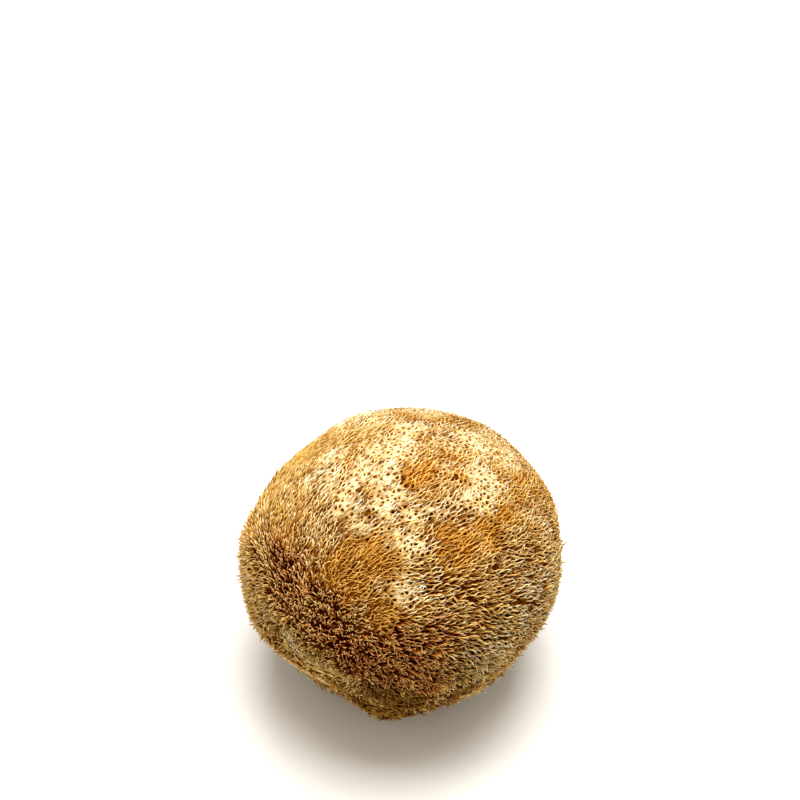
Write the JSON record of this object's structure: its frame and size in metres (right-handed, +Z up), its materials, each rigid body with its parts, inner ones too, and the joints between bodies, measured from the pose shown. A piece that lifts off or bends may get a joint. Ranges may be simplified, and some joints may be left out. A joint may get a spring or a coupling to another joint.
{
  "type": "dried lion's mane mushroom",
  "caption": "Squat round dried lion's mane mushroom covered in short combed spines, narrowing to a stub cut off flat to stand on.",
  "frame": {"origin": "middle of the flat cut at the foot of the stub, on which the mushroom stands", "axes": "+Z is up, out of the crown; -Y is the front, the side on which the stub lies; +X is to the right of someone looking at the front"},
  "size_m": [0.0722, 0.0709, 0.0588],
  "materials": {
    "dried_spines": "dry matt straw-tan fungus flesh, paler on the worn crown, darker brown low down and between the spines"
  },
  "bodies": {
    "root": {"fruiting_body": "dried_spines"}
  },
  "joints": []
}
